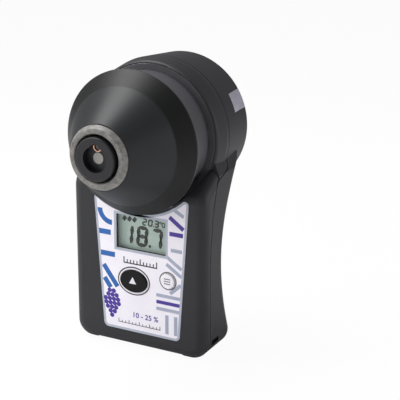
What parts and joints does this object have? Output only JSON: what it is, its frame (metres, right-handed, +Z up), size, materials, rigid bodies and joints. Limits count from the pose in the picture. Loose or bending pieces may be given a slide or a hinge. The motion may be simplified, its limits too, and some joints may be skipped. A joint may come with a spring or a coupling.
{
  "type": "handheld near-infrared fruit meter",
  "caption": "Hand-held fruit sugar meter: round head with conical hood and soft nose on a flat grip with display, keys and battery bay.",
  "frame": {"origin": "centre of the footprint's bounding box, on the plane of the feet", "axes": "+Z up along the grip, -Y towards the face and nose, +X to the viewer's right"},
  "size_m": [0.0604, 0.0722, 0.118],
  "materials": {
    "case": "fine matte texture",
    "seal": "matte",
    "steel": "bright",
    "hood": "semi-gloss moulded",
    "nose": "speckled matte",
    "barrel": "matte",
    "window": "frosted",
    "clear": "clear",
    "copper": "satin",
    "band": "satin",
    "board": "solder-resist",
    "chip": "moulded",
    "flex": "polyimide film",
    "panel": "printed film",
    "lcd": "reflective display",
    "light_plastic": "moulded",
    "key_dark": "printed key",
    "key_light": "printed key",
    "silicone": "translucent",
    "cell": "wrapped cell",
    "spring": "nickel plated",
    "led": "dark lens"
  },
  "bodies": {
    "body": {"front_case": "case", "rear_case": "case", "case_seal": "seal", "case_screws": "steel", "screw_plugs": "seal", "rear_band": "band", "hood_cone": "hood", "hood_flange": "case", "hood_screws": "steel", "nose_ring": "nose", "sensor_barrel": "barrel", "detector_window": "window", "photodiode": "chip", "emitter_ring": "copper", "light_emitter": "led", "sensor_board": "board", "thermistor": "chip", "board_clip": "barrel", "flex_cable": "flex", "flex_socket": "light_plastic", "face_panel": "panel", "display_window": "clear", "display_glass": "lcd", "display_frame": "light_plastic", "display_connector": "silicone", "key_seal": "silicone", "start_switch": "steel", "menu_switch": "steel", "main_board": "board", "board_chips": "chip", "antenna_loop": "copper", "battery_tray": "light_plastic", "cell_upper": "cell", "cell_lower": "cell", "contact_plates": "spring", "contact_leaves": "spring", "cover_gasket": "seal"},
    "start_key": {"start_key": "key_dark"},
    "menu_key": {"menu_key": "key_light"},
    "battery_cover": {"battery_cover": "case"},
    "cover_lock": {"cover_lock": "case"}
  },
  "joints": [
    {"name": "start_press", "type": "slide", "parent": "body", "child": "start_key", "axis": [0, 1, 0], "range_m": [0, 0.0008], "stiffness_N_per_m": 1500, "springref_m": -0.0004},
    {"name": "menu_press", "type": "slide", "parent": "body", "child": "menu_key", "axis": [0, 1, 0], "range_m": [0, 0.0008], "stiffness_N_per_m": 1500, "springref_m": -0.0004},
    {"name": "cover_pull", "type": "slide", "parent": "body", "child": "battery_cover", "axis": [0, 1, 0], "range_m": [0, 0.015]},
    {"name": "lock_turn", "type": "hinge", "parent": "battery_cover", "child": "cover_lock", "pos_m": [0, 0.01, 0.0319], "axis": [0, 1, 0], "continuous": true}
  ]
}
